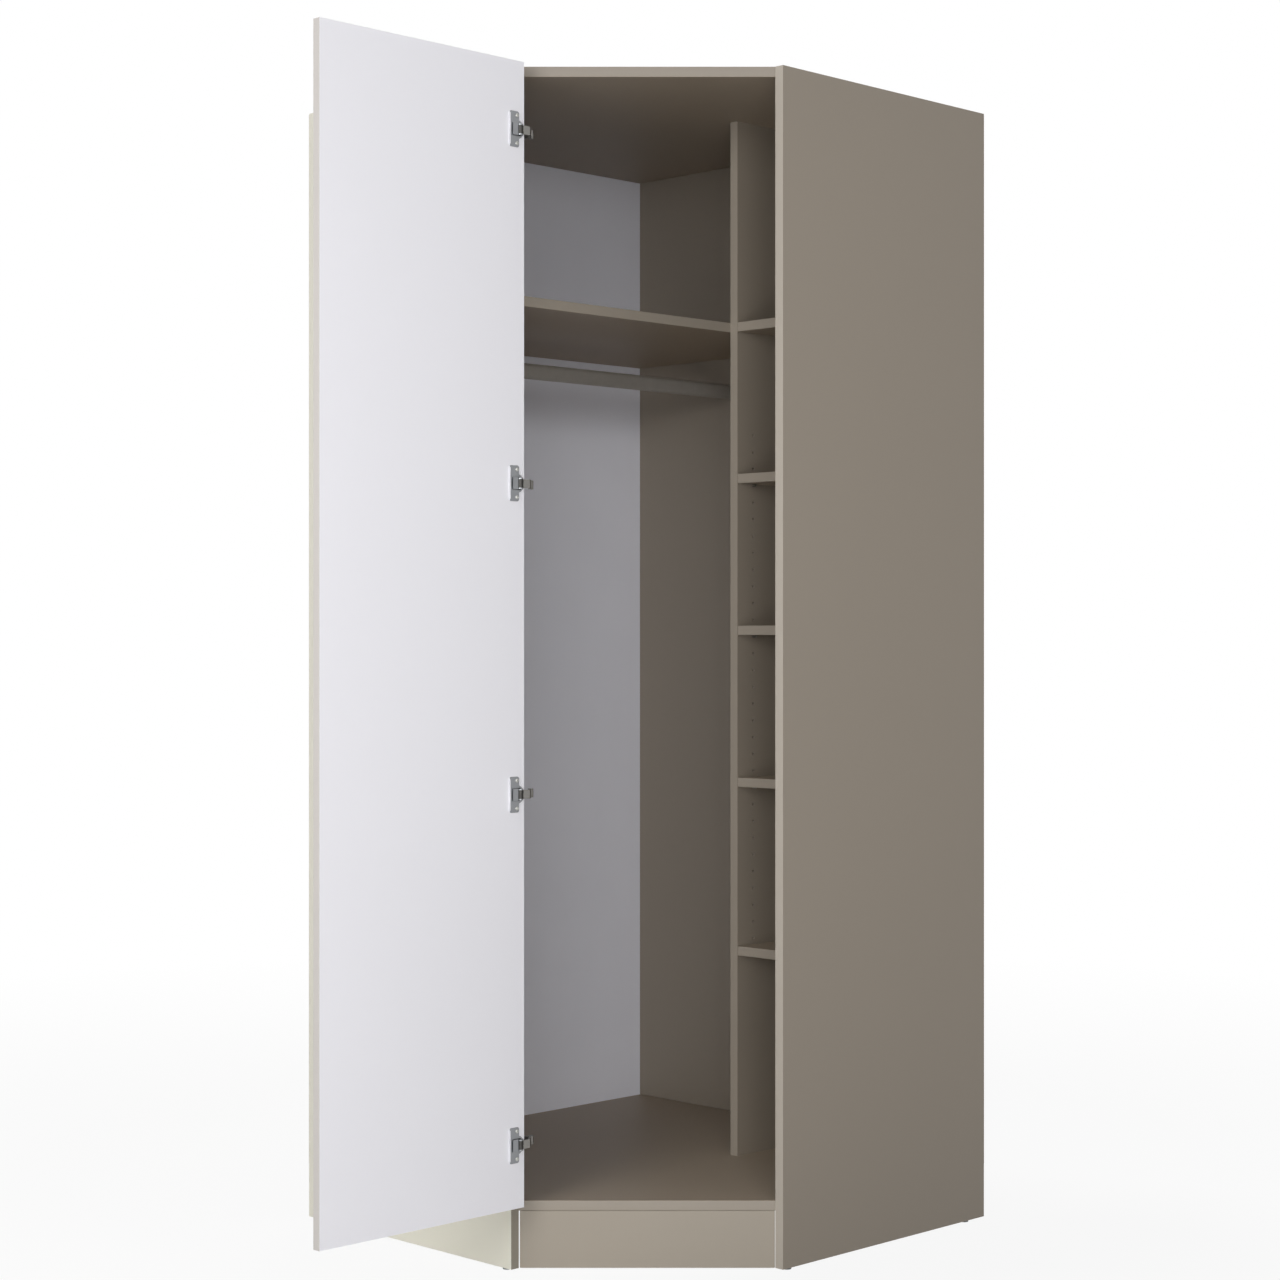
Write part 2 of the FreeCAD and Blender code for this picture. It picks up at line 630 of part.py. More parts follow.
# Riveted hinge pins and the hinge screws, each kind as one group
for label, half, spot in (
    ("hinge_cup_pins", EAR_OUTSIDE, CUP_PIN),
    ("hinge_elbow_pins", "outer_link_height / 2", ELBOW_PIN),
    ("hinge_arm_pins", CHEEK_OUTSIDE, ARM_PIN),
):
    rods = [upright(f"{label}_{i}", "hinge_pin_diameter", half, spot, level)
            for i, level in enumerate(HINGE_HEIGHTS)]
    piece(group(label, rods), label)
piece(group("cup_screw_group", cup_screws), "hinge_cup_screws")
piece(group("plate_screw_group", plate_screws), "hinge_plate_screws")

doc.recompute()
for thing in doc.Objects:
    if "Invalid" in thing.State or "Error" in thing.State:
        raise RuntimeError(f"{thing.Name} failed: {thing.State}")
for thing in pieces:
    if thing.Shape.isNull() or not thing.Shape.isValid():
        raise RuntimeError(f"{thing.Label} has no valid shape")
os.makedirs("parts", exist_ok=True)
for thing in pieces:
    thing.Shape.exportStep(f"parts/{thing.Label}.step")
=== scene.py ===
import json
import math

import bmesh
import bpy
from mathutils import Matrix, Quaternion, Vector


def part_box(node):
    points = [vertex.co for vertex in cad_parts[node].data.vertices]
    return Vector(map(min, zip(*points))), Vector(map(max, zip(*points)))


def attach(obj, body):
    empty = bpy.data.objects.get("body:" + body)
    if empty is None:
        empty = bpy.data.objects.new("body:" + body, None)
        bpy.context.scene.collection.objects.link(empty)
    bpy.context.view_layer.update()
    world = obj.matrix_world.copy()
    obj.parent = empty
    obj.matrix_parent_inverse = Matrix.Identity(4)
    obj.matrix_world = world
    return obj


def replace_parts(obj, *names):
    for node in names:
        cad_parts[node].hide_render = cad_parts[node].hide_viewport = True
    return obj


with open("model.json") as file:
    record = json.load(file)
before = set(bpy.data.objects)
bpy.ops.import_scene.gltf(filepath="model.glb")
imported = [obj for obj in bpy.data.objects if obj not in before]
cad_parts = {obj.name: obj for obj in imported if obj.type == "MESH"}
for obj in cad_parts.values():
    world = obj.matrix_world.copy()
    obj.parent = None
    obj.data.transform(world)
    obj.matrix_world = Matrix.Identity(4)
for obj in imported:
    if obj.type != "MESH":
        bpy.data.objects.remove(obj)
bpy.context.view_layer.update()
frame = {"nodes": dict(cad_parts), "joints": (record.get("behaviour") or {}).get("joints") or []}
nodes = frame["nodes"]


# Side boards: 18 mm chipboard faced with taupe decor paper and banded on every edge. The left one shows a
# pale cream decor on its outer face. They stand on glides and carry the top, the bottom and the hinges.

def linear(red, green, blue):
    """A colour written as a paint swatch from 0 to 255, for a shader's colour socket."""
    shares = [value / 255 for value in (red, green, blue)]
    return [s / 12.92 if s <= 0.04045 else ((s + 0.055) / 1.055) ** 2.4 for s in shares] + [1.0]


def feed(tree, socket, value):
    """Gives a socket a plain value or another node's output."""
    if isinstance(value, bpy.types.NodeSocket):
        tree.links.new(value, socket)
    else:
        socket.default_value = value


def add(tree, kind, inputs, **settings):
    """One shader node, with its settings and inputs."""
    made = tree.nodes.new(kind)
    for name, value in settings.items():
        setattr(made, name, value)
    for name, value in inputs.items():
        feed(tree, made.inputs[name], value)
    return made


def figure(tree, operation, *values):
    """The result of one sum on plain values or other nodes' outputs."""
    return add(tree, "ShaderNodeMath", dict(enumerate(values)), operation=operation).outputs[0]


def noise(tree, where, fineness, detail=2.0):
    """A random pattern from 0 to 1. The finer it is, the more blotches lie on a metre."""
    made = add(tree, "ShaderNodeTexNoise", {"Vector": where, "Scale": fineness, "Detail": detail})
    return made.outputs["Fac"]


def facing(tree, normal, direction):
    """How squarely a surface looks in a direction: 1 along it, 0 across it, -1 against it."""
    made = add(tree, "ShaderNodeVectorMath", {0: normal, 1: direction}, operation="DOT_PRODUCT")
    return made.outputs["Value"]


def shaded(tree, colour, strength):
    """A colour times a strength."""
    return add(tree, "ShaderNodeVectorMath", {0: colour, "Scale": strength}, operation="SCALE").outputs[0]


def blend(tree, share, first, second):
    """The colour that goes from first to second as share goes from 0 to 1."""
    mix = add(tree, "ShaderNodeMix", {"Factor": share}, data_type="RGBA")
    for socket, colour in zip([s for s in mix.inputs if s.type == "RGBA"], (first, second)):
        feed(tree, socket, colour)
    return next(s for s in mix.outputs if s.type == "RGBA")


def effect(name, takes, gives):
    """An empty shader node group with named inputs and outputs, and its two end nodes."""
    tree = bpy.data.node_groups.new(name, "ShaderNodeTree")
    for label, (kind, start) in takes.items():
        socket = tree.interface.new_socket(label, in_out="INPUT", socket_type="NodeSocket" + kind)
        socket.default_value = start
    for label, kind in gives.items():
        tree.interface.new_socket(label, in_out="OUTPUT", socket_type="NodeSocket" + kind)
    return tree, tree.nodes.new("NodeGroupInput").outputs, tree.nodes.new("NodeGroupOutput").inputs


SKIN = {"Colour": "Color", "Roughness": "Float", "Height": "Float"}
FLAT_ON = 0.72  # cosine from which a surface counts as a board's face and no longer as its edge

# Decor paper: a printed tone with a fine mottle and a pressed pearl texture, and the banded edges a shade off
CLOUDS, SPECKS, PEARLS = 2.3, 420.0, 900.0
SPECK_DULL = 0.12  # how much duller the palest specks are than the darkest
decor, take, give = effect("decor_paper", {
    "Face": ("Color", (0.3, 0.26, 0.21, 1)),
    "Edge": ("Color", (0.3, 0.26, 0.21, 1)),
    "Across": ("Vector", (0, 0, 1)),
    "Mottle": ("Float", 0.03),
    "Dullness": ("Float", 0.45),
}, SKIN)
place = add(decor, "ShaderNodeTexCoord", {}).outputs
cloud = noise(decor, place["Object"], CLOUDS)
speck = noise(decor, place["Object"], SPECKS, detail=3.0)
mottle = figure(decor, "SUBTRACT", figure(decor, "ADD", cloud, speck), 1.0)
tone = figure(decor, "MULTIPLY_ADD", mottle, take["Mottle"], 1.0)
squareness = figure(decor, "ABSOLUTE", facing(decor, place["Normal"], take["Across"]))
banded = figure(decor, "LESS_THAN", squareness, FLAT_ON)
paper = blend(decor, banded, take["Face"], take["Edge"])
feed(decor, give["Colour"], shaded(decor, paper, tone))
feed(decor, give["Roughness"], figure(decor, "MULTIPLY_ADD", speck, SPECK_DULL, take["Dullness"]))
feed(decor, give["Height"], noise(decor, place["Object"], PEARLS))


def finish_from(name, group, values, bump, **uniform):
    """A material whose colour, roughness and relief come from one of the shared effects."""
    material = bpy.data.materials.new(name)
    material.use_nodes = True
    tree = material.node_tree
    shader = tree.nodes["Principled BSDF"]
    for socket, value in uniform.items():
        shader.inputs[socket].default_value = value
    surface = add(tree, "ShaderNodeGroup", {}, node_tree=group, name="surface")
    for socket, value in values.items():
        feed(tree, surface.inputs[socket], value)
    feed(tree, shader.inputs["Base Color"], surface.outputs["Colour"])
    feed(tree, shader.inputs["Roughness"], surface.outputs["Roughness"])
    relief = add(tree, "ShaderNodeBump", {"Height": surface.outputs["Height"], **bump})
    feed(tree, shader.inputs["Normal"], relief.outputs[0])
    return material


WELD_REACH = 0.00001
EDGE_STEPS = 2
ROUNDED_FROM = math.radians(40)  # edges that turn by less stay as they are


def dress(node, material, edge_radius):
    """Gives a CAD piece its material, and rounds its sharp edges by a hair as edge banding is."""
    piece = nodes[node]
    piece.data.materials.clear()
    piece.data.materials.append(material)
    weld = piece.modifiers.new("weld", "WELD")
    weld.merge_threshold = WELD_REACH
    bevel = piece.modifiers.new("edge_radius", "BEVEL")
    bevel.width = edge_radius
    bevel.segments = EDGE_STEPS
    bevel.limit_method = "ANGLE"
    bevel.angle_limit = ROUNDED_FROM
    bevel.use_clamp_overlap = True
    piece.modifiers.new("shading", "WEIGHTED_NORMAL")


TAUPE = linear(148, 138, 125)
TAUPE_BAND = linear(147, 138, 126)
ALONG_X, ALONG_Y, UPRIGHT = (1, 0, 0), (0, 1, 0), (0, 0, 1)
BOARD_MOTTLE, BOARD_DULLNESS = 0.035, 0.42
BOARD_BUMP = {"Strength": 0.12, "Distance": 0.00006}
BAND_RADIUS = 0.0010


def taupe_board(name, across, band=TAUPE_BAND, face=TAUPE):
    """Taupe decor for a board that lies across the given direction, with its edge banding."""
    return finish_from(name, decor, {
        "Face": face, "Edge": band, "Across": across, "Mottle": BOARD_MOTTLE, "Dullness": BOARD_DULLNESS,
    }, BOARD_BUMP)


def outer_decor(material, outward, inside, outside):
    """Gives the one face of a board that looks outward a decor of its own."""
    tree = material.node_tree
    normal = add(tree, "ShaderNodeTexCoord", {}).outputs["Normal"]
    shown = figure(tree, "GREATER_THAN", facing(tree, normal, outward), FLAT_ON)
    feed(tree, tree.nodes["surface"].inputs["Face"], blend(tree, shown, inside, outside))


# Painted light: the right side board's banding is a paler copy of the taupe banding, for the light its front
# edge catches.
RIGHT_BAND_PAINTED_LIGHT = linear(168, 160, 149)
dress("right_side_panel", taupe_board("taupe_decor_right", ALONG_X, RIGHT_BAND_PAINTED_LIGHT), BAND_RADIUS)

CREAM = linear(233, 230, 216)
# Painted shade: the left side board's banding is a darker copy of the taupe banding, for the door's shadow on
# its front edge.
LEFT_BAND_PAINTED_SHADE = linear(139, 132, 120)
LEFT_OUTWARD = (0, -1, 0)
cream_side = taupe_board("cream_and_taupe_decor", ALONG_Y, LEFT_BAND_PAINTED_SHADE)
outer_decor(cream_side, LEFT_OUTWARD, TAUPE, CREAM)
dress("left_side_panel", cream_side, BAND_RADIUS)


# Top and bottom boards: five-sided, from the same taupe board, dowelled and cammed between the sides.
# The bottom's front edge is eased a little more, so that a line shows between it and the plinth.
# Painted light: the level boards' faces are a paler, warmer copy of the taupe decor, set for how these boards
# are lit.
LEVEL_TAUPE_PAINTED_LIGHT = linear(153, 139, 122)
# Painted shade: the top board's banding is a darker copy of the taupe banding, which dims its front edge.
TOP_BAND_PAINTED_SHADE = linear(138, 129, 118)
FRONT_RADIUS = 0.0013
taupe_level = taupe_board("taupe_decor_level", UPRIGHT, face=LEVEL_TAUPE_PAINTED_LIGHT)
dress("top_panel", taupe_board("taupe_decor_top", UPRIGHT, TOP_BAND_PAINTED_SHADE, LEVEL_TAUPE_PAINTED_LIGHT), BAND_RADIUS)
dress("bottom_panel", taupe_level, FRONT_RADIUS)


# Plinth: a strip of the same board, on edge under the front of the bottom board. It runs along the diagonal,
# ends just short of both side boards, and clears the floor by the height of the glides.
DIAGONAL = (math.sqrt(0.5), -math.sqrt(0.5), 0)
# Painted light: the plinth's face is a paler copy of the taupe decor.
PLINTH_TAUPE_PAINTED_LIGHT = linear(153, 144, 131)
dress("plinth_board", taupe_board("taupe_decor_diagonal", DIAGONAL, face=PLINTH_TAUPE_PAINTED_LIGHT), FRONT_RADIUS)


# Backs: a thin white-faced hardboard sheet on the left wall, a taupe board on the other as far as the
# divider, and a thin sheet behind the small shelves. The sheets' rear sides are bare brown hardboard.

def near_one(tree, pattern, sway):
    """A strength that follows a pattern and stays within half the sway of 1."""
    return figure(tree, "MULTIPLY_ADD", pattern, sway, 1 - sway / 2)


FIBRES, FELTING = 160.0, 9.0
DARK_FIBRE, PALE_FIBRE = linear(120, 88, 58), linear(166, 130, 92)
DARK_BELOW, PALE_ABOVE = 0.3, 0.7
FILM_SWAY, FIBRE_DULL = 0.05, 0.15
fibre, take, give = effect("hardboard", {
    "Front": ("Color", (0.8, 0.8, 0.8, 1)),
    "Inward": ("Vector", (1, 0, 0)),
    "Dullness": ("Float", 0.4),
}, SKIN)
place = add(fibre, "ShaderNodeTexCoord", {}).outputs
mat = noise(fibre, place["Object"], FIBRES, detail=6.0)
felt = noise(fibre, place["Object"], FELTING, detail=3.0)
bare = add(fibre, "ShaderNodeValToRGB", {"Fac": mat})
for stop, at, colour in zip(bare.color_ramp.elements, (DARK_BELOW, PALE_ABOVE), (DARK_FIBRE, PALE_FIBRE)):
    stop.position = at
    stop.color = colour
faced = figure(fibre, "GREATER_THAN", facing(fibre, place["Normal"], take["Inward"]), FLAT_ON)
overlay = shaded(fibre, take["Front"], near_one(fibre, felt, FILM_SWAY))
feed(fibre, give["Colour"], blend(fibre, faced, bare.outputs["Color"], overlay))
feed(fibre, give["Roughness"], figure(fibre, "MULTIPLY_ADD", mat, FIBRE_DULL, take["Dullness"]))
feed(fibre, give["Height"], mat)

SHEET_WHITE = linear(237, 238, 247)
SHEET_BUMP = {"Strength": 0.1, "Distance": 0.0001}
SHEET_RADIUS = 0.0002
dress("left_back_sheet", finish_from("white_hardboard", fibre, {
    "Front": SHEET_WHITE, "Inward": ALONG_X, "Dullness": 0.42,
}, SHEET_BUMP), SHEET_RADIUS)
dress("bay_back_sheet", finish_from("taupe_hardboard", fibre, {
    "Front": TAUPE, "Inward": (0, -1, 0), "Dullness": 0.45,
}, SHEET_BUMP), SHEET_RADIUS)
dress("right_back_board", taupe_board("taupe_decor_across_y", ALONG_Y), BAND_RADIUS)


# Divider and shelves: taupe boards. The hat shelf and the first small shelf are fixed at one height, and the
# four loose shelves lie on pins of the 32 mm grid drilled into the divider and the right side.
# Painted shade: the hat shelf is a darker, warmer copy of the taupe decor.
HAT_SHELF_TAUPE_PAINTED_SHADE = linear(142, 125, 104)
SMALL_SHELVES = range(1, 6)
dress("divider_panel", taupe_board("taupe_decor_across_x", ALONG_X), BAND_RADIUS)
dress("hat_shelf", taupe_board("taupe_decor_hat_shelf", UPRIGHT, face=HAT_SHELF_TAUPE_PAINTED_SHADE), BAND_RADIUS)
# The small shelves take the level boards' copy of the taupe, with its painted light.
for number in SMALL_SHELVES:
    dress(f"small_shelf_{number}", taupe_level, BAND_RADIUS)


# Shelf pins and clothes rail: turned steel pins pushed into the rows of holes, and an oval tube with a dull
# satin skin that lies in a moulded socket at each end.
BRUSHING, STAINS = 4.0, 55.0
TARNISH_SWAY = 0.16
plating, take, give = effect("worked_metal", {
    "Metal": ("Color", (0.6, 0.6, 0.58, 1)),
    "Fineness": ("Vector", (40, 40, 900)),
    "Dullness": ("Float", 0.25),
    "Scatter": ("Float", 0.18),
}, SKIN)
place = add(plating, "ShaderNodeTexCoord", {}).outputs["Object"]
stretch = add(plating, "ShaderNodeVectorMath", {0: place, 1: take["Fineness"]}, operation="MULTIPLY")
brush = noise(plating, stretch.outputs[0], BRUSHING, detail=3.0)
tarnish = near_one(plating, noise(plating, place, STAINS), TARNISH_SWAY)
feed(plating, give["Colour"], shaded(plating, take["Metal"], tarnish))
feed(plating, give["Roughness"], figure(plating, "MULTIPLY_ADD", brush, take["Scatter"], take["Dullness"]))
feed(plating, give["Height"], brush)

METAL_BUMP = {"Strength": 0.08, "Distance": 0.00003}
PIN_GREY = linear(168, 167, 164)
PIN_RADIUS = 0.0003
pin_steel = finish_from("plain_steel", plating, {
    "Metal": PIN_GREY, "Fineness": (900, 60, 60), "Dullness": 0.24,
}, METAL_BUMP, Metallic=1.0)
dress("shelf_pins", pin_steel, PIN_RADIUS)

RAIL_GREY = linear(172, 167, 160)
RAIL_RADIUS = 0.0002
rail_finish = finish_from("satin_rail", plating, {
    "Metal": RAIL_GREY, "Fineness": (500, 12, 500), "Dullness": 0.42, "Scatter": 0.12,
}, METAL_BUMP, Metallic=0.48)
dress("clothes_rail", rail_finish, RAIL_RADIUS)

SPARKS, FLOW = 1400.0, 30.0
SWIRL_SWAY, SPARK_DULL = 0.12, 0.15
moulding, take, give = effect("moulded_plastic", {
    "Resin": ("Color", (0.1, 0.1, 0.1, 1)),
    "Dullness": ("Float", 0.5),
}, SKIN)
place = add(moulding, "ShaderNodeTexCoord", {}).outputs["Object"]
spark = noise(moulding, place, SPARKS)
swirl = near_one(moulding, noise(moulding, place, FLOW), SWIRL_SWAY)
feed(moulding, give["Colour"], shaded(moulding, take["Resin"], swirl))
feed(moulding, give["Roughness"], figure(moulding, "MULTIPLY_ADD", spark, SPARK_DULL, take["Dullness"]))
feed(moulding, give["Height"], spark)

PLASTIC_BUMP = {"Strength": 0.15, "Distance": 0.00005}


def moulded(name, resin, dullness):
    """Plastic as it leaves the mould, with the fine grain of the mould's walls."""
    return finish_from(name, moulding, {"Resin": resin, "Dullness": dullness}, PLASTIC_BUMP)


SOCKET_GREY = linear(128, 124, 118)
SOCKET_RADIUS = 0.0006
socket_plastic = moulded("grey_moulding", SOCKET_GREY, dullness=0.4)
for end in ("left", "right"):
    dress(f"{end}_rail_socket", socket_plastic, SOCKET_RADIUS)


# Glides and rear leg: plastic buttons pressed on under the side boards, and one round moulded leg under the
# corner of the bottom board, which nothing else would carry there.
GLIDE_GREY, LEG_BLACK = linear(120, 122, 122), linear(52, 52, 53)
GLIDE_RADIUS, LEG_RADIUS = 0.0005, 0.0012
glide_plastic = moulded("glide_moulding", GLIDE_GREY, dullness=0.45)
leg_plastic = moulded("leg_moulding", LEG_BLACK, dullness=0.48)
dress("floor_glides", glide_plastic, GLIDE_RADIUS)
dress("rear_corner_leg", leg_plastic, LEG_RADIUS)


# Door: a 16 mm board, satin white on the inside, with pale banding and a cream outer face. It is bored for
# the four hinge cups and hangs on them alone.
DOOR_WHITE, DOOR_BAND, DOOR_CREAM = linear(238, 237, 242), linear(196, 191, 187), linear(218, 215, 202)
DOOR_OUTWARD = (-1, 0, 0)
DOOR_BUMP = {"Strength": 0.08, "Distance": 0.00005}
DOOR_RADIUS = 0.0009
door_decor = finish_from("white_and_cream_door", decor, {
    "Face": DOOR_WHITE, "Edge": DOOR_BAND, "Across": ALONG_X, "Mottle": 0.012, "Dullness": 0.34,
}, DOOR_BUMP)
outer_decor(door_decor, DOOR_OUTWARD, DOOR_WHITE, DOOR_CREAM)
dress("door_leaf", door_decor, DOOR_RADIUS)


# Hinges: satin nickel on pressed steel. The cups are let into the door and their flanges lie on it, the arms
# sit on cross-shaped plates on the left side board, and the links between turn on riveted pins.
HINGES = range(1, 5)
PRESSED_RADIUS = 0.0004
PLATE_GREY, LINK_GREY = linear(152, 154, 157), linear(146, 144, 140)


def satin_nickel(name, metal):
    """Nickel plate with its brush lines level, across the height of the hinge."""
    return finish_from(name, plating, {
        "Metal": metal, "Fineness": (60, 60, 700), "Dullness": 0.3, "Scatter": 0.16,
    }, METAL_BUMP, Metallic=1.0)


nickel = satin_nickel("satin_nickel", PLATE_GREY)
for number in HINGES:
    for part in ("arm", "plate"):
        dress(f"hinge_{part}_{number}", nickel, PRESSED_RADIUS)
for joint in ("cup", "elbow", "arm"):
    dress(f"hinge_{joint}_pins", pin_steel, PIN_RADIUS)

HIGHLIGHT_DEPTH = 0.0007  # how far the painted highlight reaches over the edge turned up along a flange
# Painted highlight: the flanges' outer edge is coloured near white in place of a reflection.
PAINTED_EDGE_HIGHLIGHT = linear(226, 226, 229)


def painted_edge_highlight(material, line):
    """Paints a highlight on the turned edge of the flanges, which lies beyond a line across the door."""
    tree = material.node_tree
    place = add(tree, "ShaderNodeTexCoord", {})
    parts = add(tree, "ShaderNodeSeparateXYZ", {0: place.outputs["Object"]})
    highlight_mask = figure(tree, "LESS_THAN", parts.outputs["Y"], line)
    feed(tree, tree.nodes["surface"].inputs["Metal"], blend(tree, highlight_mask, PLATE_GREY, PAINTED_EDGE_HIGHLIGHT))
    return material


flange_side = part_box("hinge_cup_1")[0].y
# The cups' nickel carries the painted highlight along each flange's outer edge.
cup_nickel_painted_highlight = painted_edge_highlight(satin_nickel("cup_nickel_painted_highlight", PLATE_GREY), flange_side + HIGHLIGHT_DEPTH)
for number in HINGES:
    dress(f"hinge_cup_{number}", cup_nickel_painted_highlight, PRESSED_RADIUS)


def ramp(tree, value, start, end, first, last):
    """Goes from first to last as a value goes from start to end."""
    return add(tree, "ShaderNodeMapRange", {
        "Value": value, "From Min": start, "From Max": end, "To Min": first, "To Max": last,
    }).outputs["Result"]


# Painted shade: a dark, duller patch with a ragged rim, painted round a pivot onto the eye that turns on it
RAGGEDNESS, RAGGED_SWAY = 380.0, 0.5
SHADE_FULL, SHADE_GONE = 0.85, 1.1  # shares of the reach
SHADE_SHARE, SHADE_DULL = 0.22, 0.12
pivot_shade_group, take, give = effect("pivot_painted_shade", {
    "Colour": ("Color", (0.5, 0.5, 0.5, 1)),
    "Roughness": ("Float", 0.4),
    "Pivot": ("Vector", (0, 0, 0)),
    "Reach": ("Float", 0.006),
}, {"Colour": "Color", "Roughness": "Float"})
place = add(pivot_shade_group, "ShaderNodeTexCoord", {}).outputs["Object"]
offset = add(pivot_shade_group, "ShaderNodeVectorMath", {0: place, 1: take["Pivot"]}, operation="SUBTRACT")
level = add(pivot_shade_group, "ShaderNodeVectorMath", {0: offset.outputs[0], 1: (1, 1, 0)}, operation="MULTIPLY")
away = add(pivot_shade_group, "ShaderNodeVectorMath", {0: level.outputs[0]}, operation="LENGTH").outputs["Value"]
ragged = near_one(pivot_shade_group, noise(pivot_shade_group, place, RAGGEDNESS), RAGGED_SWAY)
rim = figure(pivot_shade_group, "MULTIPLY", take["Reach"], ragged)
overlay = ramp(pivot_shade_group, figure(pivot_shade_group, "DIVIDE", away, rim), SHADE_FULL, SHADE_GONE, 1.0, 0.0)
darkened = shaded(pivot_shade_group, take["Colour"], SHADE_SHARE)
feed(pivot_shade_group, give["Colour"], blend(pivot_shade_group, overlay, take["Colour"], darkened))
feed(pivot_shade_group, give["Roughness"], figure(pivot_shade_group, "MULTIPLY_ADD", overlay, SHADE_DULL, take["Roughness"]))


def with_painted_pivot_shade(material, pivot, reach):
    """Darkens a metal finish with painted shade round the pin that the piece turns on."""
    tree = material.node_tree
    surface = tree.nodes["surface"]
    overlay = add(tree, "ShaderNodeGroup", {}, node_tree=pivot_shade_group)
    feed(tree, overlay.inputs["Pivot"], pivot)
    feed(tree, overlay.inputs["Reach"], reach)
    shader = tree.nodes["Principled BSDF"]
    for given, socket in (("Colour", "Base Color"), ("Roughness", "Roughness")):
        feed(tree, overlay.inputs[given], surface.outputs[given])
        feed(tree, shader.inputs[socket], overlay.outputs[given])
    return material


# Both links carry painted shade round the pin each turns on.
OUTER_REACH, INNER_REACH = 0.0056, 0.0048
pivots = {joint["name"]: joint["pos_m"] for joint in frame["joints"]}
outer_nickel = with_painted_pivot_shade(satin_nickel("outer_link_nickel", LINK_GREY), pivots["door_swing"], OUTER_REACH)
inner_nickel = with_painted_pivot_shade(satin_nickel("inner_link_nickel", LINK_GREY), pivots["inner_link_turn"], INNER_REACH)
for number in HINGES:
    dress(f"hinge_outer_link_{number}", outer_nickel, PRESSED_RADIUS)
    dress(f"hinge_inner_link_{number}", inner_nickel, PRESSED_RADIUS)


# Cup lips: three thin lips pressed into the mouth of each cup. They close it round the damper housing and
# leave the slot in which the outer link turns.
LIP_THICKNESS, LIP_SEAM, LIP_STEPS = 0.0008, 0.0007, 16
FLANGE_THICKNESS, MOUTH_RADIUS = 0.0015, 0.0137
HOUSING_HALF, HOUSING_SIDE = 0.0105, 0.0115  # from the middle of the cup to the damper housing's sides
LIPS = (((0, 0, 1), HOUSING_HALF), ((0, 0, -1), HOUSING_HALF), ((0, -1, 0), HOUSING_SIDE))
SHARP_FROM = math.radians(35)


def skirt(form, upper, lower):
    """Joins two rings of corners by a band of faces."""
    for i in range(len(upper)):
        j = (i + 1) % len(upper)
        form.faces.new((upper[i], upper[j], lower[j], lower[i]))


def mouth_lip(form, middle, outward, rise):
    """Adds the part of a cup's mouth that lies outward of a straight line at this rise from its middle."""
    above = Vector(ALONG_X)
    across = above.cross(outward)
    half = math.acos(rise / MOUTH_RADIUS)
    arc = [half * (2 * i / LIP_STEPS - 1) for i in range(LIP_STEPS + 1)]
    rim = [middle + MOUTH_RADIUS * (math.cos(a) * outward + math.sin(a) * across) for a in arc]
    upper = [form.verts.new(spot) for spot in rim]
    lower = [form.verts.new(spot - LIP_THICKNESS * above) for spot in rim]
    form.faces.new(upper)
    form.faces.new(lower)
    skirt(form, upper, lower)


def piece_of(form, name, finish, body):
    """Turns a finished form into a piece that rides on its body."""
    bmesh.ops.recalc_face_normals(form, faces=form.faces)
    mesh = bpy.data.meshes.new(name)
    form.to_mesh(mesh)
    form.free()
    mesh.shade_smooth()
    mesh.set_sharp_from_angle(angle=SHARP_FROM)
    mesh.materials.append(finish)
    piece = bpy.data.objects.new(name, mesh)
    bpy.context.scene.collection.objects.link(piece)
    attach(piece, body)
    return piece


lips = bmesh.new()
for number in HINGES:
    low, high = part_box(f"hinge_cup_{number}")
    mouth = (low + high) / 2
    mouth.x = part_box("door_leaf")[1].x + FLANGE_THICKNESS
    for outward, rise in LIPS:
        mouth_lip(lips, mouth, Vector(outward), rise + LIP_SEAM)
piece_of(lips, "cup_lips", nickel, "door")


# Hinge screws: zinc-plated pan heads with a cross recess, two through each flange into the door and two
# through each plate into the left side board. No two of a set were stopped at the same angle.
ZINC_GREY = linear(196, 196, 192)
zinc = finish_from("zinc_plate", plating, {
    "Metal": ZINC_GREY, "Fineness": (300, 300, 300), "Dullness": 0.2, "Scatter": 0.2,
}, METAL_BUMP, Metallic=1.0)
CUP_SCREW_SPACING, PLATE_SCREW_SPACING = 0.048, 0.032
ROUND = 24  # corners of each ring of a screw
SHANK_RADIUS, POINT_LENGTH = 0.00175, 0.003
HEAD_RINGS = ((0.0026, 0.0), (0.0031, 0.00012), (0.0034, 0.0004), (0.0035, 0.0008), (0.0035, 0.0016),
              (SHANK_RADIUS, 0.0016))  # radius, and depth below the top of the head
RECESS_ARM, RECESS_HALF, RECESS_DEPTH, RECESS_TAPER = 0.0018, 0.00045, 0.0011, 0.6
TURN_STEP = 2.4  # radians from one screw's recess to the next one's


